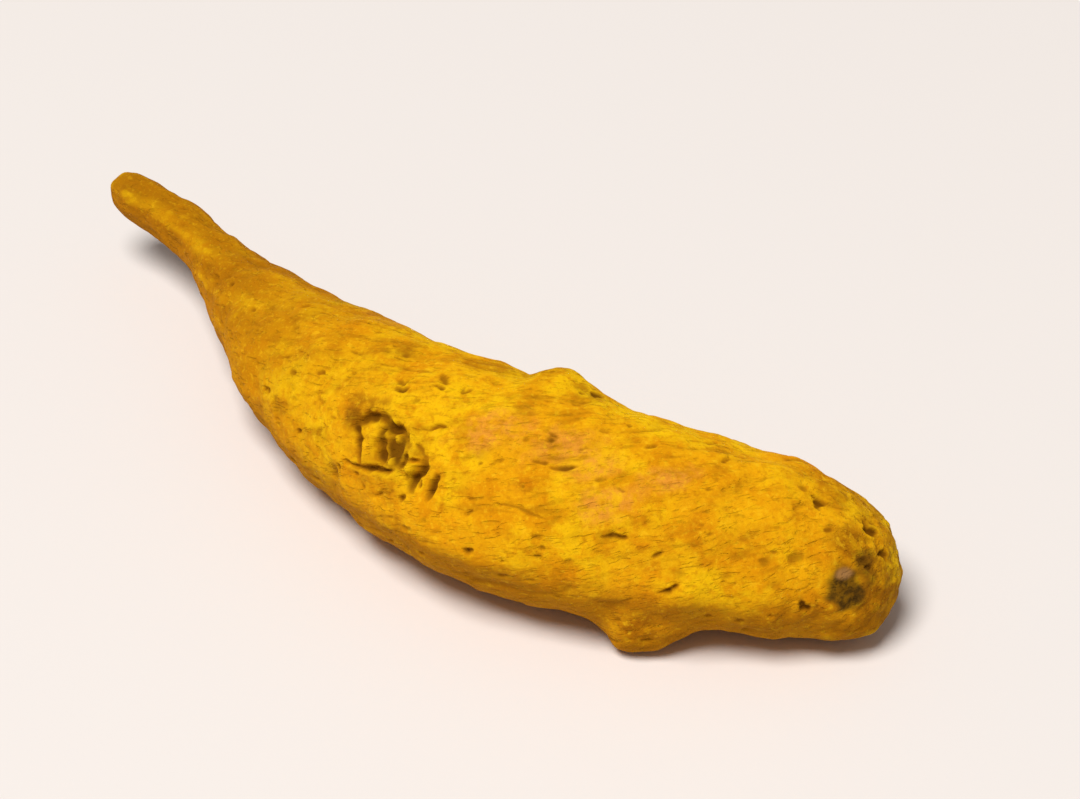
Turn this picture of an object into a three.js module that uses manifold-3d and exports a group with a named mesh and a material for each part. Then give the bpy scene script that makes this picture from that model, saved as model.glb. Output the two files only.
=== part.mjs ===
// A dried turmeric finger, one curved and knobbly rhizome that grew as a single piece.
// Its thin tail points to -X and its blunt broken end to +X. It lies on z = 0 on the flats of its belly.
// Millimetres, +Z up, origin under the middle of the finger on the surface it lies on.

import * as THREE from "three";
import { ImprovedNoise } from "three/addons/math/ImprovedNoise.js";
import { mergeVertices } from "three/addons/utils/BufferGeometryUtils.js";
import Module from "manifold-3d";

const wasm = await Module();
wasm.setup();

// How finely the skin is divided: facets round the finger, and stations from tail to end.
const SIDES = 56;
const STATIONS = 98;
const TAIL_END = 17; // the thin tail, up to here from its tip, has half as many facets round it

// The middle line of the finger, which bends like a banana in plan and lifts at the tail.
const SPINE = [
  [-33.5, 0.5, 6.4],
  [-26.0, 0.0, 5.5],
  [-18.5, -3.1, 5.2],
  [-9.0, -7.0, 5.6],
  [1.0, -9.6, 6.3],
  [11.0, -10.0, 6.85],
  [20.0, -7.0, 6.6],
  [28.0, -2.7, 5.6],
  [33.6, 0.4, 4.9],
];

// Half the thickness along the middle line, as [distance from the tail tip, radius].
const GIRTH = [
  [0.0, 0.0],
  [0.3, 0.9],
  [1.6, 1.5],
  [5.5, 1.8],
  [9.5, 2.0],
  [14.0, 2.75],
  [19.0, 3.85],
  [24.5, 5.0],
  [30.0, 6.0],
  [35.5, 6.7],
  [42.5, 7.1],
  [49.5, 7.3],
  [56.0, 7.0],
  [60.8, 6.5],
  [64.9, 5.95],
  [68.3, 5.2],
  [70.4, 4.4],
  [71.4, 3.2],
  [71.8, 1.6],
  [71.7, 0.0],
];

// The break at the blunt end runs aslant, so that one side of the finger is shorter than the other.
const BREAK_START = 62;
const BREAK_LEAN = 0.3;
const BREAK_SIDE = 70;

// Angles run round the finger in degrees: 0 faces +Y, 90 up, 180 faces -Y and 270 down.
// Leaf-scar rings: [distance from the tail tip, height of the ridge, lean, phase of its waviness].
const RINGS = [
  [13.0, 0.1, 0.5, 0.3],
  [18.5, 0.14, 0.9, 1.9],
  [24.5, 0.16, 1.2, 4.2],
  [31.0, 0.2, 1.1, 0.9],
  [38.0, 0.22, 1.6, 2.7],
  [45.5, 0.24, 1.0, 5.1],
  [52.5, 0.24, 1.4, 3.4],
  [58.8, 0.24, 0.3, 0.4],
  [64.5, 0.22, 0.8, 2.2],
  [69.0, 0.18, 0.5, 4.8],
];
const RING_WIDTH = 0.9;
const RING_STEP = 0.5;

// Buds and lumps: [distance from the tail tip, angle, height, reach tailwards, reach endwards, reach across].
const BUMPS = [
  [46.8, 52, 1.35, 2.2, 4.6, 3.4],
  [55.4, 226, 2.05, 2.6, 5.2, 3.8],
  [43.0, 345, 1.4, 4.6, 4.2, 4.0],
  [66.0, 25, 0.8, 2.6, 2.6, 2.8],
  [33.0, 75, 0.45, 3.4, 4.0, 3.0],
  [22.5, 330, 0.7, 2.6, 3.2, 2.4],
];

// Round scars of shed side fingers: [distance from the tail tip, angle, radius, depth, height of the nub in it].
const SCARS = [
  [39.6, 141, 2.0, 0.65, 0.4],
  [43.0, 151, 1.5, 0.5, 0.35],
  [67.8, 164, 1.3, 0.35, 0.05],
  [43.5, 345, 2.0, 0.5, 0.2],
  [59.5, 15, 1.9, 0.55, 0.4],
  [26.5, 20, 1.5, 0.45, 0.35],
  [62.0, 300, 1.5, 0.4, 0.2],
  [31.0, 262, 1.6, 0.45, 0.3],
];

// Lengthwise shrinkage furrows: [angle, start, finish, depth, half width, phase of their waviness].
const FURROWS = [
  [118, 19, 36, 0.28, 0.9, 0.0],
  [205, 30, 54, 0.3, 1.1, 1.3],
  [158, 46, 68, 0.22, 1.0, 2.1],
  [20, 14, 40, 0.32, 1.0, 3.7],
  [305, 24, 52, 0.36, 1.2, 5.0],
  [245, 40, 66, 0.28, 1.1, 0.8],
  [75, 54, 70, 0.3, 1.0, 4.4],
  [180, 8, 22, 0.2, 0.7, 2.9],
];

// Slow unevenness of the skin: [wavelength, height].
const SWELLS = [
  [13.0, 0.7],
  [6.0, 0.34],
  [3.0, 0.14],
];

const FLATTEN = 0.97; // the finger is a little less tall than it is wide
const WORLD_UP = new THREE.Vector3(0, 0, 1);
const noise = new ImprovedNoise();
const spine = new THREE.CatmullRomCurve3(SPINE.map((p) => new THREE.Vector3(...p)), false, "centripetal");
const spineLength = spine.getLength();

// A smooth hump, 1 at d = 0 and 0 from d = 1 on.
function hump(d) {
  return d < 1 ? (1 - d * d) ** 2 : 0;
}

// The distance round the finger, in millimetres, from an angle in degrees to the point's angle.
function arcFrom(degrees, angle, radius) {
  const turn = angle - THREE.MathUtils.degToRad(degrees);
  return Math.atan2(Math.sin(turn), Math.cos(turn)) * radius;
}

function ringRelief(along, angle) {
  return RINGS.reduce((sum, [place, height, lean, phase]) => {
    const wave = lean * Math.sin(angle + phase) + 0.25 * Math.sin(3 * angle + 2 * phase);
    const strength = 0.65 + 0.35 * Math.cos(2 * angle + 3 * phase);
    const d = (along - place - wave) / RING_WIDTH;
    const ridge = Math.exp(-d * d);
    const groove = Math.exp(-((d - 1.5) ** 2));
    return sum + height * strength * (ridge - RING_STEP * groove);
  }, 0);
}

function bumpRelief(along, angle, radius) {
  return BUMPS.reduce((sum, [place, degrees, height, tailwards, endwards, across]) => {
    const reach = along < place ? tailwards : endwards;
    const d = Math.hypot((along - place) / reach, arcFrom(degrees, angle, radius) / across);
    return sum + height * hump(d);
  }, 0);
}

function scarRelief(along, angle, radius) {
  return SCARS.reduce((sum, [place, degrees, size, depth, nub]) => {
    const d = Math.hypot(along - place, arcFrom(degrees, angle, radius)) / size;
    const rim = 0.45 * depth * Math.exp(-(((d - 1.15) / 0.28) ** 2));
    return sum + rim - depth * hump(d / 1.05) + (depth + nub) * hump(d / 0.62);
  }, 0);
}

function furrowRelief(along, angle, radius) {
  return FURROWS.reduce((sum, [degrees, start, finish, depth, halfWidth, phase]) => {
    const drift = 9 * Math.sin(along / 4.5 + phase);
    const across = arcFrom(degrees + drift, angle, radius) / halfWidth;
    const middle = (2 * along - start - finish) / (finish - start);
    return sum - depth * hump(Math.abs(middle)) * Math.exp(-across * across);
  }, 0);
}

function swellRelief(along, angle, radius) {
  const y = radius * Math.cos(angle);
  const z = radius * Math.sin(angle);
  return SWELLS.reduce((sum, [wavelength, height], octave) => {
    const shift = 17.3 * (octave + 1);
    const sample = noise.noise(along / (1.4 * wavelength) + shift, y / wavelength + shift, z / wavelength - shift);
    return sum + height * sample;
  }, 0);
}

// How far the skin stands from the middle line, in a direction given by its angle.
function skinRadius(along, angle, radius) {
  const relief =
    ringRelief(along, angle) +
    bumpRelief(along, angle, radius) +
    scarRelief(along, angle, radius) +
    furrowRelief(along, angle, radius) +
    swellRelief(along, angle, radius);
  const fade = THREE.MathUtils.smoothstep(radius, 0, 1.6); // the relief dies out at the two poles
  return radius + relief * fade * Math.min(1, 0.35 + radius / 8);
}

// A point at this distance along the bent middle line, this far out from it.
function bendPoint(along, angle, distance) {
  const share = THREE.MathUtils.clamp(along / spineLength, 0, 1);
  const centre = spine.getPointAt(share);
  const ahead = spine.getTangentAt(share);
  const side = new THREE.Vector3().crossVectors(WORLD_UP, ahead).normalize();
  const up = new THREE.Vector3().crossVectors(ahead, side);
  return centre
    .addScaledVector(ahead, along - share * spineLength)
    .addScaledVector(side, distance * Math.cos(angle))
    .addScaledVector(up, distance * Math.sin(angle) * FLATTEN);
}

// How far the blunt end is drawn back on its short side.
function breakSlant(along, angle, radius) {
  const share = THREE.MathUtils.smoothstep(along, BREAK_START, spineLength);
  return share * BREAK_LEAN * radius * (1 + Math.cos(angle - THREE.MathUtils.degToRad(BREAK_SIDE)));
}

// The finger turned on a lathe along Y, then each vertex moved to the carved and bent skin.
function fingerGeometry() {
  const girth = new THREE.SplineCurve(GIRTH.map(([along, radius]) => new THREE.Vector2(radius, along)));
  const profile = girth.getSpacedPoints(STATIONS);
  profile[0].x = 0;
  profile[STATIONS].x = 0;
  const turned = new THREE.LatheGeometry(profile, SIDES);
  turned.deleteAttribute("normal");
  turned.deleteAttribute("uv");
  const position = turned.getAttribute("position");
  const at = new THREE.Vector3();
  for (let i = 0; i < position.count; i++) {
    at.fromBufferAttribute(position, i);
    const radius = Math.hypot(at.x, at.z);
    const facet = (2 * Math.PI) / (at.y < TAIL_END ? SIDES / 2 : SIDES);
    const angle = facet * Math.round(Math.atan2(at.x, at.z) / facet);
    const along = at.y - breakSlant(at.y, angle, radius);
    const placed = bendPoint(along, angle, skinRadius(at.y, angle, radius));
    position.setXYZ(i, placed.x, placed.y, placed.z);
  }
  return turned;
}

// A closed geometry as a solid that can be joined and cut.
function toSolid(geometry) {
  const merged = mergeVertices(geometry, 1e-4);
  const corners = Array.from(merged.index.array);
  const kept = [];
  for (let i = 0; i < corners.length; i += 3) {
    const [a, b, c] = corners.slice(i, i + 3);
    if (a !== b && b !== c && c !== a) kept.push(a, b, c);
  }
  const mesh = new wasm.Mesh({
    numProp: 3,
    vertProperties: merged.attributes.position.array,
    triVerts: new Uint32Array(kept),
  });
  return new wasm.Manifold(mesh);
}

function toGeometry(solid) {
  const mesh = solid.getMesh();
  return new THREE.BufferGeometry()
    .setAttribute("position", new THREE.BufferAttribute(mesh.vertProperties, 3))
    .setIndex(new THREE.BufferAttribute(mesh.triVerts, 1));
}

// Whatever of the belly would hang below the surface is rubbed flat, which gives the finger its resting flats.
function restOnSurface(geometry) {
  const block = new THREE.BoxGeometry(100, 60, 10).translate(0, 0, -5);
  block.deleteAttribute("normal");
  block.deleteAttribute("uv");
  return toGeometry(toSolid(geometry).subtract(toSolid(block)));
}

const skin = restOnSurface(fingerGeometry());
skin.computeBoundingBox();
const middle = skin.boundingBox.getCenter(new THREE.Vector3());
skin.translate(-middle.x, -middle.y, 0);
skin.computeVertexNormals();

const turmericSkin = new THREE.MeshStandardMaterial({ color: 0xe0a412, roughness: 0.92, metalness: 0 });

const finger = new THREE.Mesh(skin, turmericSkin);
finger.name = "turmeric_finger";

const root = new THREE.Group();
root.add(finger);

export default root;
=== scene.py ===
# A dried turmeric finger: one curved, knobbly rhizome with a thin tail, on a pale table in soft light.
# The frame is in metres, with +X from the tail to the blunt end and +Z up. Marks are in millimetres.
import math

import bmesh
import bpy
import numpy as np
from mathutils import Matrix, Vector, noise


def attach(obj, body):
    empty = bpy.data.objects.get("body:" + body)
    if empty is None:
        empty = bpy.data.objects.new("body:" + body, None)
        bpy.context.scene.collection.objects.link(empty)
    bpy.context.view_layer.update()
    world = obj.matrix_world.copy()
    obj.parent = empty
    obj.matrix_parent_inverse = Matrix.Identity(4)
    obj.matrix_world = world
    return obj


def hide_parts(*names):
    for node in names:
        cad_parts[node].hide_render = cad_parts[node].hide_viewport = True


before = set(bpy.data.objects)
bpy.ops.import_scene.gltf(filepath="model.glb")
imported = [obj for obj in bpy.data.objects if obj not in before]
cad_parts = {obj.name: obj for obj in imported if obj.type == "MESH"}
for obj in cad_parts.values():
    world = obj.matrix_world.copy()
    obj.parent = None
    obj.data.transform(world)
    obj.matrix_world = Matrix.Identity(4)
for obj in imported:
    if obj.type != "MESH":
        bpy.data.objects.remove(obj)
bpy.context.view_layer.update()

MM = 0.001
NODE = "turmeric_finger"
BODY = "root"
SLOT = "turmeric_skin"

# The photograph's view: where the camera stands round VIEW_TARGET, how far off, and the point that it faces.
VIEW_AZIMUTH = 39.2
VIEW_ELEVATION = 38.0
VIEW_DISTANCE = 277.5 * MM
VIEW_TARGET = Vector((0.0, 0.0, 7.0)) * MM
AIM = Vector((6.1, 5.1, 7.4)) * MM
LENS = 139.0
SENSOR = 36.0
NEAR_LIMIT = 10 * MM

# The lamp overhead, a little to the left of the view, in metres and watts, the pale room, and the table.
LAMP_AZIMUTH = VIEW_AZIMUTH - 35
LAMP_ELEVATION = 66
LAMP_DISTANCE = 1.6
LAMP_SIZE = 0.75
LAMP_POWER = 26.0
LAMP_COLOUR = (1.0, 0.985, 0.965)
ROOM_COLOUR = (1.0, 0.965, 0.94, 1)
ROOM_STRENGTH = 0.2
TABLE_COLOUR = (0.86, 0.81, 0.78, 1)
TABLE_SIZE = 3.0

# The fine skin: the size of its faces, how often they are eased to wear the CAD facets away, and how deep or
# high a mark has to be for the faces that it crosses to be split.
CELL = 0.221
EASINGS = 22
CRISP_FROM = 0.04
SEED = 11

# How many easings level the skin out, where each point's height is compared with the skin round it: few for
# cavities, which are small, and many for hollows, which are wide.
CAVITY_EASINGS = 14
HOLLOW_EASINGS = 110

# The middle line of the solid before it was centred on its box, and the shift that centred it.
SPINE = [
    (-33.5, 0.5, 6.4),
    (-26.0, 0.0, 5.5),
    (-18.5, -3.1, 5.2),
    (-9.0, -7.0, 5.6),
    (1.0, -9.6, 6.3),
    (11.0, -10.0, 6.85),
    (20.0, -7.0, 6.6),
    (28.0, -2.7, 5.6),
    (33.6, 0.4, 4.9),
]
MIDDLE = (0.567, -7.429, 0.0)
CURVE_STEPS = 60
STATIONS = 280

# The finger's cross-section: its height as a share of its width, its usual radius, and the least radius that
# angles are measured on, near the tips.
FLATTEN = 0.97
USUAL_RADIUS = 6.5
LEAST_RADIUS = 1.0

# Marks lie about 22 degrees aslant of the finger's length, a rise of 0.4, and so wind round it.
SLANT = -22.0
TWIST = 0.4

# How far along the third number of a noise pattern moves its place, so that no two patterns are alike.
PATTERN_SHIFT = (3.7, 1.9, -2.3)

# Places on the finger are given as millimetres from the tail tip, and degrees round it: 0 faces +Y, 90 faces
# up and 180 faces -Y.

# The long cracks that show in front: [place, angle, half width, depth, path], with the path in millimetres
# from the place, x along the finger and y down its side.
LONG_CRACKS = [
    (49.1, 148, 0.13, 0.15, [(-1.88, -0.02), (-0.54, -0.15), (0.49, 0.05), (1.85, 0.14)]),
    (49.1, 121, 0.16, 0.20, [(-0.61, 0.07), (0.0, 0.05), (0.60, -0.08)]),
    (50.4, 121, 0.18, 0.26, [(-0.91, 0.26), (-0.08, 0.07), (0.99, -0.32)]),
    (54.0, 152, 0.17, 0.30, [(-0.93, 0.20), (0.01, -0.12), (0.92, -0.09)]),
    (57.5, 176, 0.17, 0.28, [(-0.73, 0.43), (0.05, 0.12), (0.67, -0.54)]),
    (39.3, 110, 0.18, 0.28, [(-0.62, 0.20), (0.11, 0.12), (0.48, -0.34)]),
    (42.8, 122, 0.15, 0.20, [(-0.83, 0.39), (-0.23, 0.28), (0.12, -0.26), (0.96, -0.41)]),
    (43.0, 95, 0.15, 0.18, [(-0.3, -0.35), (-0.06, 0.3), (0.45, -0.4)]),
]

# Short cracks: [place, angle, length, half width, depth, turn away from the common slant].
CRACKS = [
    (41.5, 100, 0.9, 0.16, 0.24, 18),
    (46.7, 175, 0.8, 0.19, 0.28, 9),
    (50.0, 159, 0.9, 0.14, 0.15, 5),
    (50.1, 170, 0.7, 0.18, 0.20, 26),
    (46.5, 156, 0.8, 0.14, 0.16, -37),
    (56.7, 158, 1.0, 0.16, 0.20, -21),
    (54.9, 94, 1.1, 0.17, 0.18, -19),
    (49.2, 104, 0.9, 0.16, 0.20, 38),
    (56.8, 214, 0.9, 0.15, 0.15, 22),
    (59.3, 90, 1.0, 0.16, 0.17, -29),
    (58.7, 116, 0.7, 0.14, 0.13, 11),
    (58.8, 129, 0.7, 0.14, 0.13, 11),
    (59.2, 140, 0.7, 0.14, 0.13, 10),
    (28.5, 160, 0.9, 0.18, 0.22, 16),
    (29.2, 129, 1.2, 0.14, 0.13, -6),
    (70.2, 124, 1.1, 0.17, 0.24, -35),
    (65.5, 99, 0.8, 0.16, 0.24, 45),
]

# Pits: [place, angle, radius, depth].
PITS = [
    (65.8, 102, 0.31, 0.28),
    (64.7, 95, 0.26, 0.09),
    (69.2, 106, 0.40, 0.42),
    (69.0, 142, 0.42, 0.20),
    (69.5, 147, 0.30, 0.20),
    (70.4, 127, 0.29, 0.36),
    (30.6, 137, 0.24, 0.12),
    (62.7, 151, 0.34, 0.10),
    (64.7, 147, 0.42, 0.12),
    (65.7, 176, 0.28, 0.24),
    (65.9, 182, 0.34, 0.34),
    (49.2, 106, 0.22, 0.18),
    (50.4, 164, 0.18, 0.12),
    (46.2, 131, 0.18, 0.14),
    (48.6, 136, 0.16, 0.10),
    (32.9, 165, 0.22, 0.18),
    (18.0, 122, 0.22, 0.15),
    (36.8, 89, 0.34, 0.10),
    (50.2, 60, 0.40, 0.22),
    (49.4, 66, 0.22, 0.16),
]

# Ragged cracks that break the rims of the larger pits, given as the short cracks are.
PIT_CRACKS = [
    (65.7, 104, 1.0, 0.17, 0.24, 75),
    (66.0, 101, 0.9, 0.15, 0.20, 5),
    (69.2, 108, 1.2, 0.19, 0.30, 10),
    (69.0, 104, 1.1, 0.18, 0.28, 70),
    (70.4, 129, 1.0, 0.17, 0.28, 40),
    (70.2, 126, 0.8, 0.15, 0.22, -30),
    (69.5, 148, 0.7, 0.15, 0.20, 50),
    (65.9, 180, 0.9, 0.15, 0.24, 65),
]

# The pair of bud scars in front: a bar of a nub, half ringed by a crescent groove, with a hollow and lumps
# beside it, a crack under it, and two comma-shaped pits further down. The grooves are [half width, depth,
# path], in millimetres from the middle of the larger scar, x along the common slant and y down from it.
SCAR = (40.0, 142.1)
CRESCENT = [
    (-2.6, -0.9),
    (-2.0, -1.4),
    (-1.3, -1.66),
    (-0.7, -1.72),
    (-0.15, -1.58),
    (0.35, -1.22),
    (0.7, -0.92),
    (1.25, -0.78),
    (1.85, -0.46),
    (2.5, 0.35),
]
SCAR_GROOVES = [
    (0.42, 0.64, CRESCENT),
    (0.22, 0.42, [(-2.5, -1.4), (-2.2, -0.94), (-2.0, -0.4), (-1.95, 0.2)]),
    (0.16, 0.28, [(-2.0, -0.3), (-1.85, 0.6), (-1.62, 1.5)]),
    (0.36, 0.52, [(0.15, -1.3), (-0.1, -0.8), (-0.02, -0.25), (-0.08, 0.65), (0.2, 1.45)]),
    (0.24, 0.40, [(2.2, 0.4), (2.25, 0.9), (2.1, 1.3), (1.5, 1.65)]),
    (0.21, 0.50, [(-3.15, 1.14), (-2.38, 1.38), (-1.65, 1.57), (-0.47, 1.55), (0.69, 1.77), (1.6, 1.62)]),
    (0.17, 0.24, [(2.85, 0.05), (3.35, 0.5), (3.65, 1.1)]),
    (0.16, 0.22, [(2.1, 1.12), (2.75, 1.06), (3.3, 1.2)]),
    (0.34, 0.54, [(3.7, 0.75), (3.5, 1.55), (3.05, 1.98), (2.6, 2.3), (2.42, 2.8), (2.4, 3.35)]),
    (0.30, 0.50, [(4.7, 2.0), (4.2, 2.55), (3.9, 3.07), (3.7, 3.75)]),
    (0.16, 0.30, [(3.3, 2.3), (3.1, 2.9)]),
    (0.15, 0.18, [(2.1, 1.9), (2.25, 2.6)]),
    (0.20, 0.30, [(1.98, 3.3), (1.7, 3.5), (1.3, 3.62)]),
    (0.14, 0.14, [(0.3, 3.4), (1.1, 3.0)]),
    (0.14, 0.12, [(-0.7, 3.5), (0.0, 3.0)]),
    (0.20, 0.16, [(-1.9, 2.9), (-1.5, 2.8)]),
    (0.24, 0.24, [(-4.1, 1.5), (-3.7, 1.6)]),
    (0.16, 0.16, [(-2.4, 2.0), (-2.0, 2.0)]),
    (0.17, 0.20, [(0.1, -3.85), (0.78, -3.62), (1.0, -3.95)]),
    (0.16, 0.20, [(2.77, -4.07), (3.32, -3.74), (3.84, -3.37)]),
]

# The hollow in it, and then the nubs: [x, y, half width, half height, how far it stands up, how dark it is].
# A darkness below 0 clears away a share of the marks' brown and painted shade.
SCAR_NUBS = [
    (1.15, 0.40, 1.30, 1.50, -0.34, 1.0),
    (-1.0, 0.18, 0.74, 1.36, 0.30, -0.8),
    (1.2, -0.3, 0.42, 0.36, 0.36, -0.75),
    (0.95, 1.12, 0.40, 0.40, 0.36, -0.7),
    (2.80, 0.65, 0.58, 0.50, 0.26, -0.5),
    (2.62, 1.60, 0.66, 0.48, 0.42, -0.8),
    (3.40, 2.85, 0.40, 0.75, 0.18, -0.3),
]

# Scars on the sides that the photograph doesn't show, each a raised collar with a hollow and lumps in it:
# [place, angle, radius].
ROUND_SCARS = [
    (43.5, 345, 1.5),
    (59.5, 15, 1.4),
    (26.5, 20, 1.1),
    (62.0, 300, 1.1),
    (31.0, 262, 1.2),
]

# Rough, brownish places: [place, angle, reach along, reach across, strength].
ROUGH = [
    (40.6, 145, 3.2, 2.5, 0.5),
    (38.6, 128, 1.5, 1.1, 0.95),
    (49.9, 63, 1.5, 1.3, 1.0),
    (70.5, 140, 3.6, 5.5, 1.0),
    (70.5, 40, 3.2, 5.0, 0.9),
    (70.5, 250, 3.2, 6.0, 0.9),
    (0.6, 90, 1.5, 3.0, 0.9),
    (0.6, 270, 1.5, 3.0, 0.9),
    (55.8, 226, 2.0, 1.8, 0.5),
    (36.5, 174, 1.0, 0.7, 0.8),
    (36.0, 88, 1.8, 1.3, 0.7),
    (37.1, 136, 1.3, 1.5, 1.0),
]

# The brown bruise near the blunt end, which is a little sunken, and a pale lilac painted highlight on its
# upper
# edge: [place, angle, reach along, reach across].
BRUISE = (68.4, 167, 1.5, 2.1)
BRUISE_DEPTH = 0.18
BRUISE_HIGHLIGHT = (68.0, 155, 0.85, 0.6)

# Fainter bruises: [place, angle, reach along, reach across, strength].
FAINT_BRUISES = [
    (69.1, 143, 1.2, 1.2, 0.40),
    (69.7, 155, 0.9, 0.9, 0.35),
    (36.9, 136, 1.0, 1.0, 0.3),
]

# Brown stains: [place, angle, reach along, reach across, strength]. Those at angles from 170 to 205, low on
# the front flank and at the blunt end, are partly painted shade.
UMBERS_AND_SHADE = [
    (70.6, 184, 2.7, 2.3, 1.0),
    (69.8, 171, 1.2, 1.4, 0.9),
    (69.2, 140, 1.1, 1.2, 0.6),
    (68.0, 128, 1.7, 1.4, 0.95),
    (66.4, 184, 2.2, 1.2, 0.7),
    (37.3, 133, 1.6, 1.3, 0.6),
    (34.8, 158, 1.2, 0.7, 0.5),
    (55.9, 203, 2.6, 1.9, 1.0),
    (62.5, 198, 4.0, 1.5, 0.7),
    (66.8, 70, 4.0, 2.0, 0.5),
    (31.5, 118, 2.4, 1.0, 0.4),
    (44.0, 62, 4.0, 1.4, 0.5),
    (48.0, 280, 7.0, 3.0, 0.5),
    (30.0, 330, 5.0, 2.0, 0.5),
]

# Pink and orange stains: [place, angle, reach along, reach across].
BLUSHES = [
    (46.3, 111, 3.0, 1.8),
    (49.9, 109, 2.8, 1.5),
    (52.1, 116, 2.4, 1.3),
    (53.5, 134, 2.8, 1.4),
    (56.3, 115, 2.2, 1.2),
    (31.0, 60, 3.0, 2.0),
    (60.0, 250, 3.6, 2.2),
]
RUSTS = [
    (59.9, 146, 3.4, 2.2),
    (49.6, 190, 4.6, 1.4),
    (56.3, 155, 4.0, 2.6),
    (56.2, 200, 3.6, 3.2),
    (37.2, 126, 2.4, 2.0),
    (67.5, 190, 3.5, 3.0),
    (48.6, 136, 0.8, 0.5),
    (45.0, 300, 6.0, 4.0),
    (24.0, 30, 4.0, 3.0),
    (64.0, 40, 4.0, 2.6),
]

# Leaf-scar rings, marked by rows of short fibres: [place, lean, phase], as in the solid.
RINGS = [
    (18.5, 0.9, 1.9),
    (24.5, 1.2, 4.2),
    (31.0, 1.1, 0.9),
    (38.0, 1.6, 2.7),
    (45.5, 1.0, 5.1),
    (52.5, 1.4, 3.4),
    (58.8, 0.3, 0.4),
    (64.5, 0.8, 2.2),
    (69.0, 0.5, 4.8),
]
RING_FIBRES = 14
FIBRE_SHARE = 0.6
FIBRE_LENGTHS = (0.4, 0.9)
FIBRE_HALF_WIDTH = 0.13

# How unevenly they stand: in degrees round the finger, in millimetres off their ring, and in degrees turned.
FIBRE_GAP_SPREAD = 9
FIBRE_STRAY = 0.12
FIBRE_TURN_SPREAD = 12

# How many more cracks and pits are scattered over the whole skin, how far apart they stay, and between which
# places. They stay clear of the table too, and of points that other marks move by more than MARKED, of which
# one in MARKED_STEP is looked at.
SCATTERED_CRACKS = 150
SCATTERED_PITS = 120
CRACK_SPACING = 1.8
PIT_SPACING = 1.3
CRACK_RANGE = (9.0, 70.5)
PIT_RANGE = (3.0, 71.0)
TABLE_CLEARANCE = 0.3
MARKED = 0.03
MARKED_STEP = 12

# The sizes that they are drawn from. Most cracks are faint, and a few are strong.
STRONG_SHARE = 0.14
STRONG_DEPTHS = (0.15, 0.24)
STRONG_HALF_WIDTHS = (0.14, 0.19)
FAINT_DEPTHS = (0.05, 0.12)
FAINT_HALF_WIDTHS = (0.10, 0.15)
SHORTEST_CRACK = 0.45
LONGEST_CRACK = 2.4
CRACK_TURN_SPREAD = 20
PIT_RADII = (0.12, 0.26)

# A crack changes its course at each of these steps, by about this much.
CRACK_STEP = 0.4
CRACK_WAVER = 0.085

# The unevenness of the whole skin: [wavelength, height, noise pattern].
LUMPS = [
    (4.4, 0.23, 1),
    (2.1, 0.135, 2),
    (1.05, 0.08, 3),
    (0.6, 0.025, 17),
]

# The wrinkles and the tail's furrows. A size is given along the slant, and then across it both ways. The fine
# wrinkles are WRINKLE_FINENESS times smaller.
WRINKLE_SIZE = (4.5, 1.0, 1.0)
WRINKLE_FINENESS = 1.9
WRINKLE_HEIGHT = 0.06
CREASE_DEPTH = 0.08
FINE_CREASE_DEPTH = 0.05
FURROW_SIZE = (9.0, 1.1, 1.1)
FURROW_HEIGHT = 0.2

# The tail's furrows and its brown fade in from the first of these places to the second. The brown is partly
# its own colour and partly painted shade, darker on the side turned away from this angle, which faces the
# lamp.
FURROWS_FROM_TO = (24, 8)
TAIL_BROWN_AND_SHADE_FROM_TO = (43, 12)
TAIL_LIT_SIDE = 125

# How much more uneven the rough places are: [wavelength, height, noise pattern].
ROUGH_LUMPS = [
    (1.3, 0.18, 11),
    (0.65, 0.12, 12),
]

# A groove varies along its length, at this many points, and ends within this distance of its path.
# A narrow one has faintly raised lips, this share of its depth.
RAGGED_POINTS = 9
GROOVE_MARGIN = 1.2
GROOVE_REACH = 1.4
NARROW_GROOVE = 0.25
LIP_SHARE = 0.12


def smooth_step(value, low, high):
    """0 up to low, 1 from high on, and smooth between them, which may run either way."""
    share = np.clip((value - low) / (high - low), 0, 1)
    return share * share * (3 - 2 * share)


def unit(vectors):
    """The vectors, one to a row, each made one long."""
    return vectors / np.linalg.norm(vectors, axis=-1, keepdims=True)


def running_length(line):
    """How far along a line each of its points lies."""
    return np.concatenate([[0], np.cumsum(np.linalg.norm(np.diff(line, axis=0), axis=1))])


def middle_line():
    """Points at even steps along the smooth curve through the spine."""
    knots = np.array(SPINE) - MIDDLE
    knots = np.concatenate([[2 * knots[0] - knots[1]], knots, [2 * knots[-1] - knots[-2]]])
    share = np.linspace(0, 1, CURVE_STEPS, endpoint=False)[:, None]
    curve = []
    for p0, p1, p2, p3 in zip(knots, knots[1:], knots[2:], knots[3:]):
        before, here, after = (np.linalg.norm(b - a) ** 0.5 for a, b in ((p0, p1), (p1, p2), (p2, p3)))
        start = (p1 - p0) / before - (p2 - p0) / (before + here) + (p2 - p1) / here
        finish = (p2 - p1) / here - (p3 - p1) / (here + after) + (p3 - p2) / after
        start, finish = start * here, finish * here
        bend = 2 * (p1 - p2) + start + finish
        curve.append(p1 + share * (start + share * (3 * (p2 - p1) - 2 * start - finish + share * bend)))
    curve = np.concatenate(curve + [knots[-2:-1]])
    reach = running_length(curve)
    even = np.linspace(0, reach[-1], STATIONS)
    return np.stack([np.interp(even, reach, curve[:, k]) for k in range(3)], axis=-1)


def noise_at(places, pattern):
    """Smooth noise, about -1 to 1, at places given in wavelengths. Each pattern number gives its own."""
    shift = np.array(PATTERN_SHIFT) * pattern
    return np.array([noise.noise(place) for place in (places + shift).tolist()])


def read_rows(items, name, width, kind=float):
    """What each vertex or edge of a mesh holds under this name, one to a row."""
    rows = np.empty(len(items) * width, kind)
    items.foreach_get(name, rows)
    return rows.reshape(-1, width)


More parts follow.
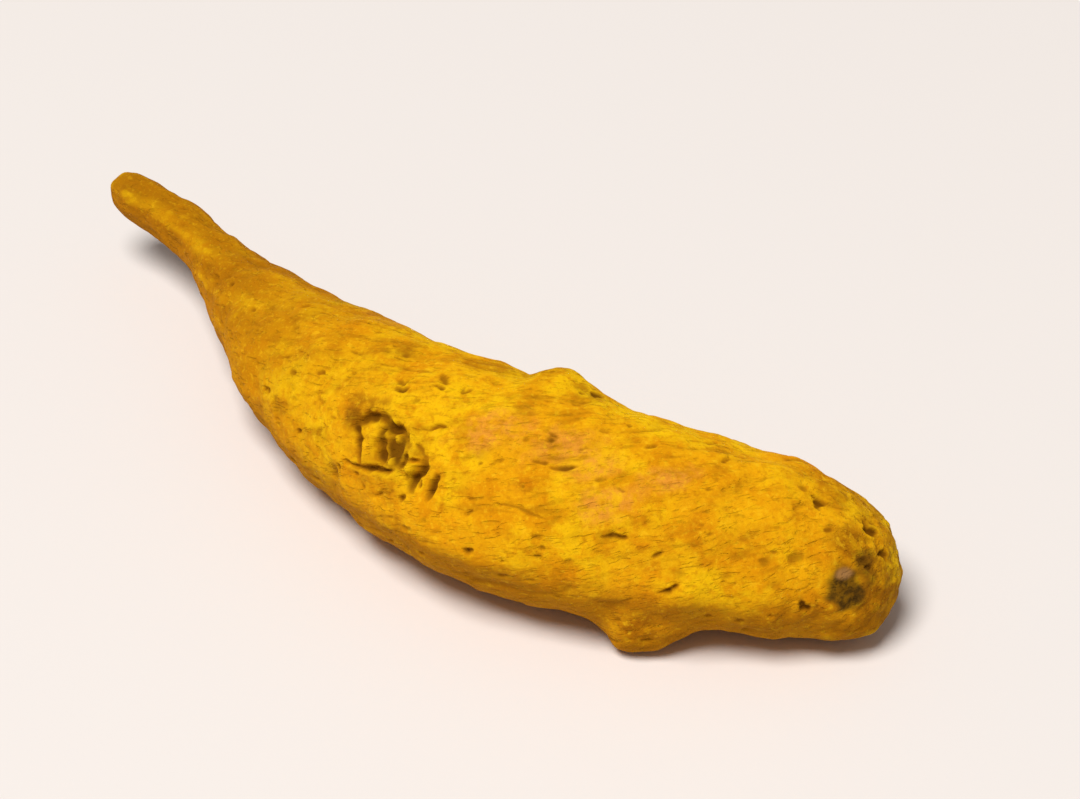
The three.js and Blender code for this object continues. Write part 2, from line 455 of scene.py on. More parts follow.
class Skin:
    """The finger's skin as a fine, even mesh in millimetres, with what is carved and painted on it."""

    def __init__(self, name):
        self.piece = self.fine_copy(name)
        self.measure()

    def fine_copy(self, name):
        """A copy of the CAD solid, remeshed in small even faces, with its flat facets worn away."""
        shape = bmesh.new()
        shape.from_mesh(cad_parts[NODE].data)
        bmesh.ops.remove_doubles(shape, verts=shape.verts, dist=0.005 * MM)
        bmesh.ops.scale(shape, vec=(1 / MM,) * 3, verts=shape.verts)
        mesh = bpy.data.meshes.new(name)
        shape.to_mesh(mesh)
        shape.free()
        piece = bpy.data.objects.new(name, mesh)
        bpy.context.scene.collection.objects.link(piece)
        remesh = piece.modifiers.new("even faces", "REMESH")
        remesh.mode = "VOXEL"
        remesh.voxel_size = CELL
        wear = piece.modifiers.new("worn facets", "SMOOTH")
        wear.factor = 0.5
        wear.iterations = EASINGS
        graph = bpy.context.evaluated_depsgraph_get()
        piece.data = bpy.data.meshes.new_from_object(piece.evaluated_get(graph))
        piece.data.name = name
        piece.modifiers.clear()
        return piece

    def refine(self, marks):
        """Splits the faces that the marks cross in four, so that the marks come out crisp."""
        crossed = np.zeros(len(self.points), bool)
        for mark in marks:
            near, change, _ = mark.shape(self)
            crossed[near[np.abs(change) > CRISP_FROM]] = True
        mesh = self.piece.data
        shape = bmesh.new()
        shape.from_mesh(mesh)
        split = [face for face in shape.faces if any(crossed[v.index] for v in face.verts)]
        edges = sorted({edge for face in split for edge in face.edges}, key=lambda edge: edge.index)
        bmesh.ops.subdivide_edges(shape, edges=edges, cuts=1, use_grid_fill=True)
        shape.to_mesh(mesh)
        shape.free()
        self.measure()

    def measure(self):
        """Reads the mesh, and finds each point's place on the finger."""
        mesh = self.piece.data
        self.points = read_rows(mesh.vertices, "co", 3)
        self.normals = read_rows(mesh.vertices, "normal", 3)
        self.edges = read_rows(mesh.edges, "vertices", 2, int)
        self.height = np.zeros(len(self.points))
        self.raised = np.zeros(len(self.points))
        self.sunk = np.zeros(len(self.points))
        self.layers = {}
        self.find_places()

    def find_places(self):
        """Each point's place along the finger, its angle round it and its distance from the middle line."""
        line = middle_line()
        reach = running_length(line)
        ahead = unit(np.gradient(line, axis=0))
        side = unit(np.cross((0, 0, 1), ahead))
        upward = np.cross(ahead, side)
        distance = (self.points**2).sum(1)[:, None] - 2 * self.points @ line.T + (line**2).sum(1)
        nearest = distance.argmin(1)
        offset = self.points - line[nearest]
        self.ahead = ahead[nearest]
        self.along = reach[nearest] + (offset * self.ahead).sum(1)
        across = (offset * side[nearest]).sum(1)
        above = (offset * upward[nearest]).sum(1) / FLATTEN
        self.angle = np.arctan2(above, across)
        self.radius = np.hypot(above, across)
        twisted = self.angle + TWIST * self.along / USUAL_RADIUS
        wide = np.maximum(self.radius, LEAST_RADIUS)
        self.straight = np.stack([self.along, wide * np.cos(twisted), wide * np.sin(twisted)], axis=-1)

    def spot(self, place, degrees):
        """The spot of the skin at this place and angle."""
        turn = self.angle - math.radians(degrees)
        arc = np.arctan2(np.sin(turn), np.cos(turn)) * np.maximum(self.radius, LEAST_RADIUS)
        return Spot(self, int(((self.along - place) ** 2 + arc**2).argmin()))

    def carve(self, mark):
        """Marks that meet run into one another, as only the deepest and the highest counts at a point."""
        near, change, dark = mark.shape(self)
        self.raised[near] = np.maximum(self.raised[near], change)
        self.sunk[near] = np.minimum(self.sunk[near], change)
        # Each mark's dark is its own brown, deepened by painted shade in its depth.
        self.paint("cracked", near, dark)

    def paint(self, layer, near, amounts):
        """Adds to a painted layer, keeping the stronger amount. An amount below 0 clears a share of it."""
        values = self.layers.setdefault(layer, np.zeros(len(self.points)))
        old = values[near]
        values[near] = np.where(amounts < 0, old * (1 + amounts), np.maximum(old, amounts))

    def tint(self, layer, place, degrees, reach_x, reach_y, strength=1.0, ragged=0.4):
        """A soft, ragged-edged patch in one of the painted layers."""
        near, x, y = self.spot(place, degrees).local(self, SLANT, 2 * max(reach_x, reach_y))
        wander = noise_at(self.points[near] * 0.55, 6) + 0.5 * noise_at(self.points[near] * 1.6, 7)
        d = np.hypot(x / reach_x, y / reach_y) + ragged * wander
        self.paint(layer, near, strength * (1 - smooth_step(d, 0.3, 1.2)))

    def ease(self, values, times):
        """Spreads values over neighbouring points."""
        a, b = self.edges.T
        count = len(values)
        degree = np.bincount(a, minlength=count) + np.bincount(b, minlength=count)
        for _ in range(times):
            total = np.bincount(a, values[b], count) + np.bincount(b, values[a], count)
            values = 0.5 * values + 0.5 * total / degree
        return values

    def finish(self):
        """Moves the skin out and in by what was carved, writes its layers, and puts it back in metres."""
        self.height += self.ease(self.raised + self.sunk, 1)
        self.layers["cracked"] = self.ease(self.layers["cracked"], 1)
        # Height above the skin round it, for painted shade in low places and a painted highlight on rises.
        self.layers["cavity"] = self.height - self.ease(self.height, CAVITY_EASINGS)
        self.layers["hollow"] = self.height - self.ease(self.height, HOLLOW_EASINGS)
        # How far each point faces down, for painted shade on the underside.
        self.layers["under"] = smooth_step(self.normals[:, 2], 0.45, -0.5)
        self.points += self.normals * self.height[:, None]
        np.maximum(self.points[:, 2], 0, out=self.points[:, 2])
        mesh = self.piece.data
        mesh.vertices.foreach_set("co", (self.points * MM).ravel())
        coordinates = mesh.attributes.new("straight", "FLOAT_VECTOR", "POINT")
        coordinates.data.foreach_set("vector", self.straight.astype(np.float32).ravel())
        for name, values in self.layers.items():
            layer = mesh.attributes.new(name, "FLOAT", "POINT")
            layer.data.foreach_set("value", values.astype(np.float32))
        for face in mesh.polygons:
            face.use_smooth = True
        mesh.update()
        return self.piece


class Spot:
    """A spot of the skin, with the directions out of it and along the finger."""

    def __init__(self, skin, index):
        self.centre = skin.points[index].copy()
        self.normal = skin.normals[index].copy()
        ahead = skin.ahead[index]
        self.ahead = unit(ahead - (ahead @ self.normal) * self.normal)
        self.around = np.cross(self.ahead, self.normal)

    def local(self, skin, turn, reach):
        """The skin points within reach, and their x and y from the spot, x being turned from the length."""
        near = np.flatnonzero((np.abs(skin.points - self.centre) < reach).all(1))
        near = near[(skin.normals[near] @ self.normal) > 0.1]
        angle = math.radians(turn)
        x_axis = self.ahead * math.cos(angle) + self.around * math.sin(angle)
        y_axis = self.around * math.cos(angle) - self.ahead * math.sin(angle)
        offset = skin.points[near] - self.centre
        return near, offset @ x_axis, offset @ y_axis


class Groove:
    """A ragged line through the points of a path, in millimetres from a spot."""

    def __init__(self, spot, turn, path, half_width, depth, draw):
        self.spot = spot
        self.turn = turn
        self.path = np.array(path, float)
        self.half_width = half_width
        self.depth = depth
        self.lip = LIP_SHARE if half_width < NARROW_GROOVE else 0.0
        self.raggedness = draw.uniform(0.7, 1.2, RAGGED_POINTS)

    def shape(self, skin):
        """The skin points near it, how far each moves out, and how dark it gets."""
        path = self.path
        near, x, y = self.spot.local(skin, self.turn, np.abs(path).max() + GROOVE_MARGIN)
        starts = running_length(path)

        # How far each point is from the path, and how far along it.
        gap = np.full(len(near), np.inf)
        share = np.zeros(len(near))
        for k, length in enumerate(np.diff(starts)):
            step = (path[k + 1] - path[k]) / length
            dx, dy = x - path[k, 0], y - path[k, 1]
            run = np.clip(dx * step[0] + dy * step[1], 0, length)
            distance = np.hypot(dx - run * step[0], dy - run * step[1])
            closer = distance < gap
            gap[closer] = distance[closer]
            share[closer] = ((starts[k] + run) / starts[-1])[closer]
        close = gap < GROOVE_REACH
        near, gap, share = near[close], gap[close], share[close]

        # Ragged banks, and a width and depth that taper towards both ends.
        gap = np.maximum(gap + 0.3 * self.half_width * noise_at(skin.points[near] * 2.6, 16), 0)
        raggedness = np.interp(share, np.linspace(0, 1, RAGGED_POINTS), self.raggedness)
        taper = np.clip(4.4 * share * (1 - share), 0.05, 1) ** 0.5 * raggedness
        width = self.half_width * (0.45 + 0.55 * taper) * (1 + 0.4 * noise_at(skin.points[near] * 1.6, 13))
        cut = 1 - smooth_step(gap / width, 0.1, 1.5)
        lip = np.exp(-(((gap / width - 2.0) / 0.7) ** 2))
        strength = min(1.0, 0.12 + self.depth / 0.42) * np.minimum(taper, 1.0)
        # The dark is the groove's own brown, and painted shade across its whole width and in the halo round
        # it.
        dark = (1 - smooth_step(gap / width, 0.35, 1.45)) * strength
        halo = 0.36 * np.exp(-((gap / width / 1.8) ** 2)) * strength
        return near, (self.lip * lip - cut) * self.depth * taper, np.maximum(dark, halo)


class Nub:
    """A squarish bump, steep at its sides and flat on top, or a hollow where its height is below 0."""

    def __init__(self, spot, turn, x, y, half_x, half_y, height, dark=0.0):
        self.spot = spot
        self.turn = turn
        self.middle = (x, y)
        self.half = (half_x, half_y)
        self.height = height
        self.dark = dark

    def shape(self, skin):
        """As a groove's."""
        reach = max(abs(self.middle[0]) + self.half[0], abs(self.middle[1]) + self.half[1]) + 0.5
        near, x, y = self.spot.local(skin, self.turn, reach)
        x = (x - self.middle[0]) / self.half[0]
        y = (y - self.middle[1]) / self.half[1]
        d = (np.abs(x) ** 3 + np.abs(y) ** 3) ** (1 / 3) + 0.15 * noise_at(skin.points[near] * 1.3, 14)
        share = 1 - smooth_step(d, 0.35, 1.05)
        return near, self.height * share, self.dark * share


class Pit:
    """A small round or oval hole with a faint rim."""

    def __init__(self, spot, radius, depth, stretch, tint=1.0):
        self.spot = spot
        self.radius = radius
        self.depth = depth
        self.stretch = stretch
        self.tint = tint

    def shape(self, skin):
        """As a groove's."""
        near, x, y = self.spot.local(skin, SLANT, self.radius * self.stretch * 2 + 0.4)
        d = np.hypot(x / self.stretch, y) / self.radius
        d += 0.5 * noise_at(skin.points[near] * 2.0, 9) + 0.3 * noise_at(skin.points[near] * 4.5, 15)
        rim = np.exp(-(((d - 1.35) / 0.3) ** 2))
        change = 0.12 * self.depth * rim - self.depth * np.clip(1 - d * d, 0, 1) ** 1.3
        strength = min(1.0, 0.15 + self.depth / 0.3) * self.tint
        return near, change, (1 - smooth_step(d, 0.5, 1.3)) * strength


def crack(spot, turn, length, half_width, depth, draw):
    """A groove that wavers a little as it goes."""
    steps = max(3, round(length / CRACK_STEP))
    xs = np.linspace(-length / 2, length / 2, steps + 1)
    ys = np.cumsum(draw.normal(0, CRACK_WAVER, steps + 1))
    ys -= np.linspace(ys[0], ys[-1], steps + 1)
    return Groove(spot, turn, np.stack([xs, ys], axis=-1), half_width, depth, draw)


def round_scar(spot, radius, draw):
    """A raised collar round a sunken face, with ragged cracks along its rim, and lumps and cracks in it."""
    turns = draw.uniform(0, 6) + np.linspace(0, 5.6, 19)
    wide_phase, fine_phase = draw.uniform(0, 6), draw.uniform(0, 6)
    wander = 1 + 0.17 * np.sin(2 * turns + wide_phase) + 0.11 * np.sin(3 * turns + fine_phase)
    rim = np.stack([np.cos(turns) * wander * 1.25, np.sin(turns) * wander], axis=-1) * radius
    # The collar, the hollow in it, three arcs of its rim and one inside it.
    marks = [
        Nub(spot, SLANT, 0, 0, 2.1 * radius, 1.7 * radius, 0.26),
        Nub(spot, SLANT, 0, 0, 1.35 * radius, 1.1 * radius, -0.32, 0.4),
        Groove(spot, SLANT, rim[:7], 0.24, 0.36, draw),
        Groove(spot, SLANT, 0.92 * rim[8:13], 0.16, 0.26, draw),
        Groove(spot, SLANT, 1.05 * rim[14:], 0.14, 0.22, draw),
        Groove(spot, SLANT, 0.5 * rim[4:9] + 0.1 * radius, 0.15, 0.26, draw),
    ]
    for x, y in draw.uniform(-0.6, 0.6, (4, 2)) * radius:
        half_x, half_y = draw.uniform(0.2, 0.42, 2) * radius
        marks.append(Nub(spot, SLANT, x, y, half_x, half_y, draw.uniform(0.16, 0.32), -0.5))
    for turn in draw.uniform(0, 180, 2):
        marks.append(crack(spot, turn, 1.3 * radius, 0.15, 0.3, draw))
    marks.append(Pit(spot, 0.3, 0.3, stretch=1.5))
    return marks


def scatter(skin, draw, count, spacing, taken, between):
    """Picks spots of the skin that keep their distance from one another and from the points taken."""
    low, high = between
    chosen = []
    for index in draw.permutation(len(skin.points)):
        if len(chosen) == count:
            break
        point = skin.points[index]
        if not low < skin.along[index] < high or point[2] < TABLE_CLEARANCE:
            continue
        if taken and (np.linalg.norm(np.array(taken) - point, axis=1) < spacing).any():
            continue
        taken.append(point)
        chosen.append(Spot(skin, int(index)))
    return chosen


def scars(skin, draw):
    """The pair of bud scars in front, and the round scars elsewhere."""
    spot = skin.spot(*SCAR)
    hollow, *nubs = (Nub(spot, SLANT, *nub) for nub in SCAR_NUBS)
    marks = [hollow]
    for half_width, depth, path in SCAR_GROOVES:
        marks.append(Groove(spot, SLANT, path, half_width, depth, draw))
    marks += nubs
    for place, degrees, radius in ROUND_SCARS:
        marks += round_scar(skin.spot(place, degrees), radius, draw)
    return marks


def short_cracks(skin, draw, rows):
    """A crack for each row of a list of short cracks."""
    cracks = []
    for place, degrees, length, half_width, depth, turn in rows:
        cracks.append(crack(skin.spot(place, degrees), SLANT + turn, length, half_width, depth, draw))
    return cracks


def seen_cracks_and_pits(skin, draw):
    """The cracks and pits that the photograph shows."""
    marks = []
    for place, degrees, half_width, depth, path in LONG_CRACKS:
        marks.append(Groove(skin.spot(place, degrees), 0, path, half_width, depth, draw))
    marks += short_cracks(skin, draw, CRACKS)
    for place, degrees, radius, depth in PITS:
        marks.append(Pit(skin.spot(place, degrees), radius, depth, stretch=1.25))
    return marks


def scattered_cracks_and_pits(skin, draw, marks):
    """Rows of ring fibres, and many small cracks and pits on every side, clear of the marks made before."""
    more = []
    for place, lean, phase in RINGS:
        uneven = draw.uniform(-FIBRE_GAP_SPREAD, FIBRE_GAP_SPREAD, RING_FIBRES)
        for degrees in np.linspace(0, 360, RING_FIBRES, endpoint=False) + uneven:
            wave = lean * math.sin(math.radians(degrees) + phase)
            spot = skin.spot(place + wave + draw.normal(0, FIBRE_STRAY), degrees)
            length = draw.uniform(*FIBRE_LENGTHS)
            depth = draw.uniform(*FAINT_DEPTHS)
            turn = SLANT + draw.normal(0, FIBRE_TURN_SPREAD)
            fibre = crack(spot, turn, length, FIBRE_HALF_WIDTH, depth, draw)
            if draw.random() < FIBRE_SHARE:
                more.append(fibre)
    taken = []
    for mark in marks:
        near, change, _ = mark.shape(skin)
        taken.extend(skin.points[near[np.abs(change) > MARKED]][::MARKED_STEP])
        taken.append(mark.spot.centre)
    taken.extend(mark.spot.centre for mark in more)
    for spot in scatter(skin, draw, SCATTERED_CRACKS, CRACK_SPACING, taken, CRACK_RANGE):
        strong = draw.random() < STRONG_SHARE
        length = min(SHORTEST_CRACK + draw.gamma(2.0, 0.32), LONGEST_CRACK)
        depth = draw.uniform(*(STRONG_DEPTHS if strong else FAINT_DEPTHS))
        half_width = draw.uniform(*(STRONG_HALF_WIDTHS if strong else FAINT_HALF_WIDTHS))
        turn = SLANT + draw.normal(0, CRACK_TURN_SPREAD)
        more.append(crack(spot, turn, length, half_width, depth, draw))
    for spot in scatter(skin, draw, SCATTERED_PITS, PIT_SPACING, taken, PIT_RANGE):
        radius = draw.uniform(*PIT_RADII)
        depth = radius * draw.uniform(0.25, 0.7)
        stretch = draw.uniform(1.0, 2.2)
        tint = draw.uniform(0.3, 0.9)
        more.append(Pit(spot, radius, depth, stretch, tint))
    return more


def carve_uneven_skin(skin):
    """The dried skin's unevenness: soft lumps, wrinkles along the common slant, and rough places."""
    for wavelength, height, pattern in LUMPS:
        skin.height += height * noise_at(skin.points / wavelength, pattern)
    drawn_out = 1 / np.array(WRINKLE_SIZE)
    wrinkles = noise_at(skin.straight * drawn_out, 4)
    fine_wrinkles = noise_at(skin.straight * drawn_out * WRINKLE_FINENESS, 5)
    broken = smooth_step(noise_at(skin.straight / 2.2, 8), -0.05, 0.35)
    fine_broken = smooth_step(noise_at(skin.straight / 1.6, 9), 0.0, 0.4)
    crease = np.exp(-((wrinkles / 0.16) ** 2)) * broken
    fine_crease = np.exp(-((fine_wrinkles / 0.2) ** 2)) * fine_broken
    skin.height += WRINKLE_HEIGHT * wrinkles - CREASE_DEPTH * crease - FINE_CREASE_DEPTH * fine_crease
    # The creases, where painted shade goes.
    skin.layers["creased"] = np.maximum(crease, 0.7 * fine_crease)
    furrows = noise_at(skin.straight * (1 / np.array(FURROW_SIZE)), 10)
    skin.height += FURROW_HEIGHT * smooth_step(skin.along, *FURROWS_FROM_TO) * furrows
    # Painted shade: the tail browns more on the side turned away from the lamp.
    painted_shade_side = 0.5 - 0.5 * np.cos(skin.angle - math.radians(TAIL_LIT_SIDE))
    tail = smooth_step(skin.along, *TAIL_BROWN_AND_SHADE_FROM_TO)
    skin.layers["tail"] = tail * (0.9 - 0.5 * furrows + 0.35 * painted_shade_side)
    for patch in ROUGH:
        skin.tint("scarred", *patch)
    for place, degrees, radius in ROUND_SCARS:
        skin.tint("scarred", place, degrees, 1.5 * radius, 1.3 * radius)
    for wavelength, height, pattern in ROUGH_LUMPS:
        skin.height += skin.layers["scarred"] * height * noise_at(skin.points / wavelength, pattern)


def sink_bruise(skin):
    """The shallow dent under the bruise."""
    place, degrees, reach_x, reach_y = BRUISE
    near, x, y = skin.spot(place, degrees).local(skin, SLANT, 2 * reach_y)
    skin.height[near] -= BRUISE_DEPTH * (1 - smooth_step(np.hypot(x / reach_x, y / reach_y), 0.2, 1.2))


def paint_stains_shade_and_highlight(skin):
    """The pink, orange and brown stains, some partly painted shade, the bruises and the painted highlight."""
    for stains, layer in ((BLUSHES, "blush"), (RUSTS, "rust"), (UMBERS_AND_SHADE, "umber_and_shade")):
        for patch in stains:
            skin.tint(layer, *patch)
    for patch in FAINT_BRUISES:
        skin.tint("bruise", *patch)
    skin.tint("bruise", *BRUISE, ragged=0.3)
    # A pale lilac painted highlight on the bruise's upper edge.
    skin.tint("bruise_highlight", *BRUISE_HIGHLIGHT)


class Wire:
    """A number that changes over the surface. Sums on it add Math nodes to its finish."""

    def __init__(self, finish, socket):
        self.finish = finish
        self.socket = socket

    def math(self, operation, *values):
        """One operation on these values, as a Math node."""
        return self.finish.add("ShaderNodeMath", {"operation": operation}, *values)

    def __add__(self, other):
        return self.math("ADD", self, other)

    def __radd__(self, other):
        return self.math("ADD", other, self)

    def __sub__(self, other):
        return self.math("SUBTRACT", self, other)

    def __rsub__(self, other):
        return self.math("SUBTRACT", other, self)

    def __mul__(self, other):
        return self.math("MULTIPLY", self, other)

    def __rmul__(self, other):
        return self.math("MULTIPLY", other, self)

    def eased(self, low, high):
        """0 where this is low, 1 where it is high, and smooth between them, which may run either way."""
        settings = {"interpolation_type": "SMOOTHSTEP"}
        return self.finish.add("ShaderNodeMapRange", settings, self, low, high, 0.0, 1.0)


class Finish:
    """A material in the making."""

    def __init__(self, name):
        self.material = bpy.data.materials.new(name)
        self.material.use_nodes = True
        self.tree = self.material.node_tree
        self.shader = self.tree.nodes["Principled BSDF"]

    def add(self, kind, settings=None, *values, output=0, **named):
        """Adds a node, with its settings first and then its sockets, and gives its output."""
        node = self.tree.nodes.new(kind)
        for key, value in (settings or {}).items():
            setattr(node, key, value)
        for k, value in enumerate(values):
            self.feed(node.inputs[k], value)
        for key, value in named.items():
            self.feed(node.inputs[key], value)
        return Wire(self, node.outputs[output])

    def feed(self, socket, value):
        """Links a socket to a wire, or sets it."""
        if isinstance(value, Wire):
            self.tree.links.new(value.socket, socket)
        else:
            socket.default_value = value

    def layer(self, name):
        """One of the skin's layers."""
        return self.add("ShaderNodeAttribute", {"attribute_name": name}, output="Fac")

    def mix(self, share, first, second):
        """From the first colour to the second, by a share from 0 to 1."""
        node = self.tree.nodes.new("ShaderNodeMix")
        node.data_type = "RGBA"
        self.feed(node.inputs["Factor"], share)
        colours = [socket for socket in node.inputs if socket.type == "RGBA"]
        self.feed(colours[0], first)
        self.feed(colours[1], second)
        return Wire(self, next(socket for socket in node.outputs if socket.type == "RGBA"))

    def noise(self, place, scale, detail, roughness=0.55, waver=0.0):
        """Noise with this many waves to a unit of the place."""
        return self.add(
            "ShaderNodeTexNoise",
            Vector=place,
            Scale=scale,
            Detail=detail,
            Roughness=roughness,
            Distortion=waver,
        )

    def stretched(self, place, lengthwise, across):
        """The place drawn out, so that a texture on it makes streaks this long and this wide."""
        scale = (lengthwise, across, across)
        return self.add("ShaderNodeMapping", {"vector_type": "TEXTURE"}, place, Scale=scale)


def turmeric_skin():
    """Dry, powdery skin: golden yellow, rubbed with orange, brown in its cracks, pits and scars, with painted
    shade and highlights.
    """
    golden = (0.81, 0.388, 0.0026, 1)
    yellow = (0.86, 0.512, 0.0032, 1)
    deep = (0.70, 0.268, 0.0020, 1)
    tan = (0.42, 0.155, 0.0018, 1)
    umber_and_shade = (0.27, 0.080, 0.0014, 1)
    brown = (0.34, 0.130, 0.0022, 1)
    pale = (0.90, 0.535, 0.010, 1)
    pink = (0.80, 0.33, 0.035, 1)
    rust = (0.67, 0.222, 0.0020, 1)
    amber = (0.56, 0.210, 0.0020, 1)
    crack_brown_and_shade = (0.135, 0.045, 0.0008, 1)
    bruise_brown = (0.076, 0.035, 0.0036, 1)
    highlight_lilac = (0.55, 0.275, 0.095, 1)

    finish = Finish(SLOT)
    place = finish.add("ShaderNodeTexCoord", output="Object")
    straight = finish.add("ShaderNodeAttribute", {"attribute_name": "straight"}, output="Vector")
    per_mm = 1 / MM

    # Patterns from the largest to the finest, and the streaks that follow the slant.
    patches = finish.noise(place, 0.14 * per_mm, 2.0)
    blotches = finish.noise(place, 0.42 * per_mm, 4.0, 0.6)
    mottles = finish.noise(place, 1.1 * per_mm, 3.0, 0.6)
    specks = finish.noise(place, 2.4 * per_mm, 3.0, 0.6)
    powder = finish.noise(place, 5.5 * per_mm, 2.0, 0.6)
    streaks = finish.noise(finish.stretched(straight, 2.2, 0.6), 1.0, 3.0, 0.6, waver=0.6)
    dashes = finish.noise(finish.stretched(straight, 0.95, 0.36), 1.0, 2.5, 0.55, waver=1.0)

    cavity = finish.layer("cavity")
    hollow = finish.layer("hollow")
    cracked = finish.layer("cracked")
    creased = finish.layer("creased")
    scarred = finish.layer("scarred")
    under = finish.layer("under")
    tail = finish.layer("tail")

    # The ground, clouded with orange and yellow.
    colour = finish.mix(patches.eased(0.40, 0.60), yellow, golden)
    colour = finish.mix(blotches.eased(0.44, 0.64) * 0.72, colour, deep)
    colour = finish.mix(mottles.eased(0.52, 0.68) * 0.38, colour, rust)
    colour = finish.mix(mottles.eased(0.42, 0.28) * 0.45, colour, yellow)

    # The stains, some brown ones partly painted shade; the browner tail, partly painted shade; and painted
    # shade on the underside.
    colour = finish.mix(finish.layer("rust") * (0.3 + 0.5 * blotches.eased(0.35, 0.65)), colour, rust)
    colour = finish.mix(finish.layer("blush") * (0.15 + 0.65 * mottles.eased(0.4, 0.6)), colour, pink)
    colour = finish.mix(finish.layer("umber_and_shade") * (0.45 + 0.55 * mottles.eased(0.35, 0.6)), colour, umber_and_shade)
    colour = finish.mix(tail, colour, tan)
    colour = finish.mix(under * 0.6, colour, deep)
    colour = finish.mix(under.eased(0.25, 0.95) * 0.6, colour, brown)

    # Streaks, specks and powder, with fewer pale specks on the tail, and on the underside as part of its
    # painted shade.
    colour = finish.mix(streaks.eased(0.54, 0.74) * 0.32, colour, brown)
    colour = finish.mix(dashes.eased(0.56, 0.74) * 0.36, colour, brown)
    colour = finish.mix(specks.eased(0.53, 0.70) * 0.50, colour, amber)
    colour = finish.mix(specks.eased(0.46, 0.28) * (0.58 - 0.3 * tail - 0.25 * under), colour, pale)
    colour = finish.mix(powder.eased(0.56, 0.72) * (0.32 - 0.15 * tail - 0.15 * under), colour, pale)
    colour = finish.mix(powder.eased(0.44, 0.30) * 0.25, colour, amber)

    # Brown in rough places, painted shade in the hollows, cavities and creases, and a painted highlight with
    # paler dust on the rises.
    colour = finish.mix(scarred * (0.12 + 0.6 * mottles.eased(0.4, 0.6)), colour, brown)
    colour = finish.mix(hollow.eased(0.05, 0.30) * 0.35, colour, yellow)
    colour = finish.mix(hollow.eased(-0.03, -0.25) * 0.45, colour, brown)
    colour = finish.mix(cavity.eased(0.015, 0.10) * 0.35, colour, yellow)
    colour = finish.mix(cavity.eased(-0.012, -0.12) * 0.50, colour, brown)
    colour = finish.mix(creased * (0.12 + 0.35 * blotches.eased(0.4, 0.6)), colour, brown)
    # The cracks, pits and scars: their own brown, deepened by painted shade.
    colour = finish.mix(cracked.eased(0.05, 0.5) * 0.6, colour, brown)
    colour = finish.mix(cracked.eased(0.4, 0.95) * 0.85, colour, crack_brown_and_shade)

    # The bruises, and the painted highlight on the bruise.
    bruised = finish.layer("bruise").eased(0.08, 0.68)
    painted_highlight = finish.layer("bruise_highlight").eased(0.0, 1.0)
    colour = finish.mix(bruised * (0.8 + 0.2 * specks.eased(0.62, 0.4)), colour, bruise_brown)
    colour = finish.mix(painted_highlight * (0.6 + 0.3 * mottles.eased(0.6, 0.4)), colour, highlight_lilac)
    finish.feed(finish.shader.inputs["Base Color"], colour)

    # A matt skin with a fine grain.
    finish.feed(finish.shader.inputs["Roughness"], 0.82 + 0.14 * blotches.eased(0.3, 0.7))
    height = 0.45 * streaks + 0.55 * specks + 0.5 * mottles + 0.2 * powder - 0.45 * dashes.eased(0.52, 0.74)
    bump = finish.add("ShaderNodeBump", None, Strength=1.0, Distance=0.15 * MM, Height=height)
    finish.feed(finish.shader.inputs["Normal"], bump)
    finish.shader.inputs["Diffuse Roughness"].default_value = 0.5
    finish.shader.inputs["Specular IOR Level"].default_value = 0.05
    return finish.material


def table_top():
    """A pale, faintly pink table."""
    finish = Finish("table_top")
    finish.shader.inputs["Base Color"].default_value = TABLE_COLOUR
    finish.shader.inputs["Roughness"].default_value = 0.7
    finish.shader.inputs["Specular IOR Level"].default_value = 0.2
    return finish.material


def stage_table():
    """A large flat table under the finger."""
    shape = bmesh.new()
    bmesh.ops.create_grid(shape, x_segments=1, y_segments=1, size=TABLE_SIZE)
    mesh = bpy.data.meshes.new("table")
    shape.to_mesh(mesh)
    shape.free()
    table = bpy.data.objects.new("table", mesh)
    bpy.context.scene.collection.objects.link(table)
    mesh.materials.append(table_top())


def direction(azimuth, elevation):
    """From the finger towards a point round it, azimuth 0 being straight in front, at -Y."""
    a, e = math.radians(azimuth), math.radians(elevation)
    return Vector((math.sin(a) * math.cos(e), -math.cos(a) * math.cos(e), math.sin(e)))


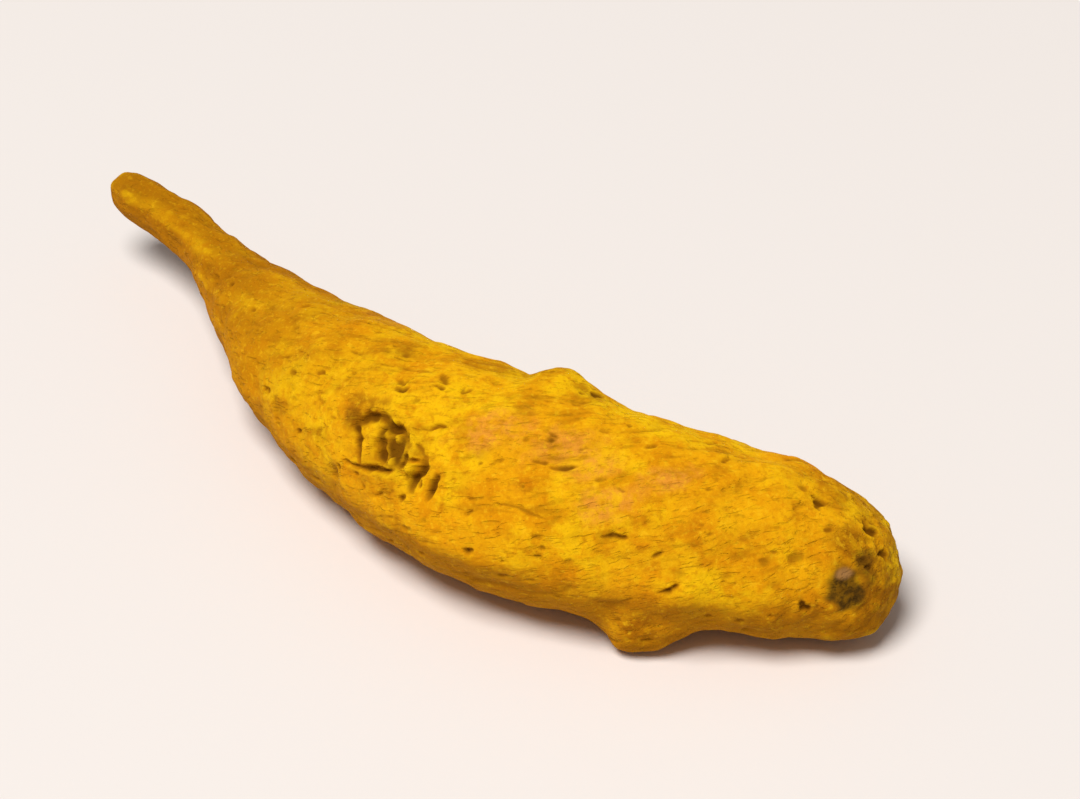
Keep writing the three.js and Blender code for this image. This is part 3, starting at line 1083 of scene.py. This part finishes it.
def add_camera():
    """A camera at the photograph's view of the finger."""
    camera = bpy.data.objects.new("camera", bpy.data.cameras.new("camera"))
    bpy.context.scene.collection.objects.link(camera)
    camera.data.lens = LENS
    camera.data.sensor_width = SENSOR
    camera.data.clip_start = NEAR_LIMIT
    camera.location = VIEW_TARGET + direction(VIEW_AZIMUTH, VIEW_ELEVATION) * VIEW_DISTANCE
    camera.rotation_euler = (camera.location - AIM).to_track_quat("Z", "Y").to_euler()
    bpy.context.scene.camera = camera


def add_lamp():
    """A large soft disk of light overhead, a little to the left of the view."""
    lamp = bpy.data.objects.new("overhead lamp", bpy.data.lights.new("overhead lamp", "AREA"))
    bpy.context.scene.collection.objects.link(lamp)
    lamp.data.shape = "DISK"
    lamp.data.size = LAMP_SIZE
    lamp.data.energy = LAMP_POWER
    lamp.data.color = LAMP_COLOUR
    towards = direction(LAMP_AZIMUTH, LAMP_ELEVATION)
    lamp.location = towards * LAMP_DISTANCE
    lamp.rotation_euler = towards.to_track_quat("Z", "Y").to_euler()


def light_room():
    """A faint, even light from a pale room."""
    world = bpy.data.worlds.new("pale room")
    world.use_nodes = True
    background = world.node_tree.nodes["Background"]
    background.inputs["Color"].default_value = ROOM_COLOUR
    background.inputs["Strength"].default_value = ROOM_STRENGTH
    bpy.context.scene.world = world
    bpy.context.scene.view_settings.view_transform = "Standard"


def make_rhizome():
    """The finger's skin, carved and painted, in place of the plain solid."""
    draw = np.random.default_rng(SEED)
    skin = Skin("turmeric_rhizome")
    marks = scars(skin, draw) + seen_cracks_and_pits(skin, draw)
    marks += scattered_cracks_and_pits(skin, draw, marks)
    marks += short_cracks(skin, np.random.default_rng(SEED + 1), PIT_CRACKS)
    skin.refine(marks)
    carve_uneven_skin(skin)
    for mark in marks:
        skin.carve(mark)
    sink_bruise(skin)
    paint_stains_shade_and_highlight(skin)
    rhizome = skin.finish()
    rhizome.data.materials.clear()
    rhizome.data.materials.append(turmeric_skin())
    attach(rhizome, BODY)
    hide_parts(NODE)


add_camera()
make_rhizome()
stage_table()
light_room()
add_lamp()
